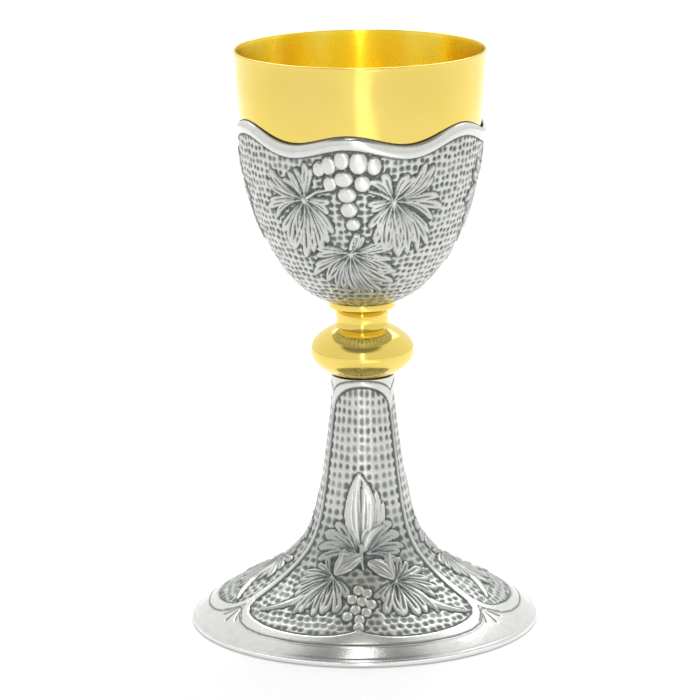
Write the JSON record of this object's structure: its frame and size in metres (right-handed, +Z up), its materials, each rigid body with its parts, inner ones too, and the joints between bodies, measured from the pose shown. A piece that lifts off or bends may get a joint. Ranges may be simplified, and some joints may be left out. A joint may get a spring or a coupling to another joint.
{
  "type": "communion chalice",
  "caption": "Gilt cup in a chased silver calyx on a gilt collar and round knop, with a flared hollow silver stem and foot clamped by a nut inside.",
  "frame": {"origin": "middle of the foot's underside, on the surface that the chalice stands on", "axes": "+Z up along the axis of the cup and stem, -Y towards the front, where a vine panel is centred"},
  "size_m": [0.126, 0.126, 0.21],
  "materials": {
    "gold_plate": "polished",
    "antique_silver": "satin",
    "polished_silver": "polished",
    "plain_brass": "satin",
    "zinc_steel": "satin"
  },
  "bodies": {
    "chalice": {"cup": "gold_plate", "cup_boss": "plain_brass", "cup_stud": "zinc_steel", "calyx_shell": "antique_silver", "calyx_border": "polished_silver", "collar": "gold_plate", "knop_upper_shell": "gold_plate", "knop_lower_shell": "gold_plate", "knop_sleeve": "plain_brass", "stem_foot": "antique_silver", "stem_top_plate": "plain_brass", "foot_ring": "polished_silver"},
    "washer": {"clamp_washer": "zinc_steel"},
    "nut": {"clamp_nut": "zinc_steel"}
  },
  "joints": [
    {"name": "washer_drop", "type": "slide", "parent": "chalice", "child": "washer", "axis": [0, 0, -1], "range_m": [0, 0.0126]},
    {"name": "nut_turn", "type": "hinge", "parent": "washer", "child": "nut", "pos_m": [0, 0, 0.08355], "axis": [0, 0, -1], "range_deg": [0, 3600]}
  ],
  "couplings": [
    {"joint": "washer_drop", "follows": "nut_turn", "m_per_rad": 0.00019894}
  ]
}
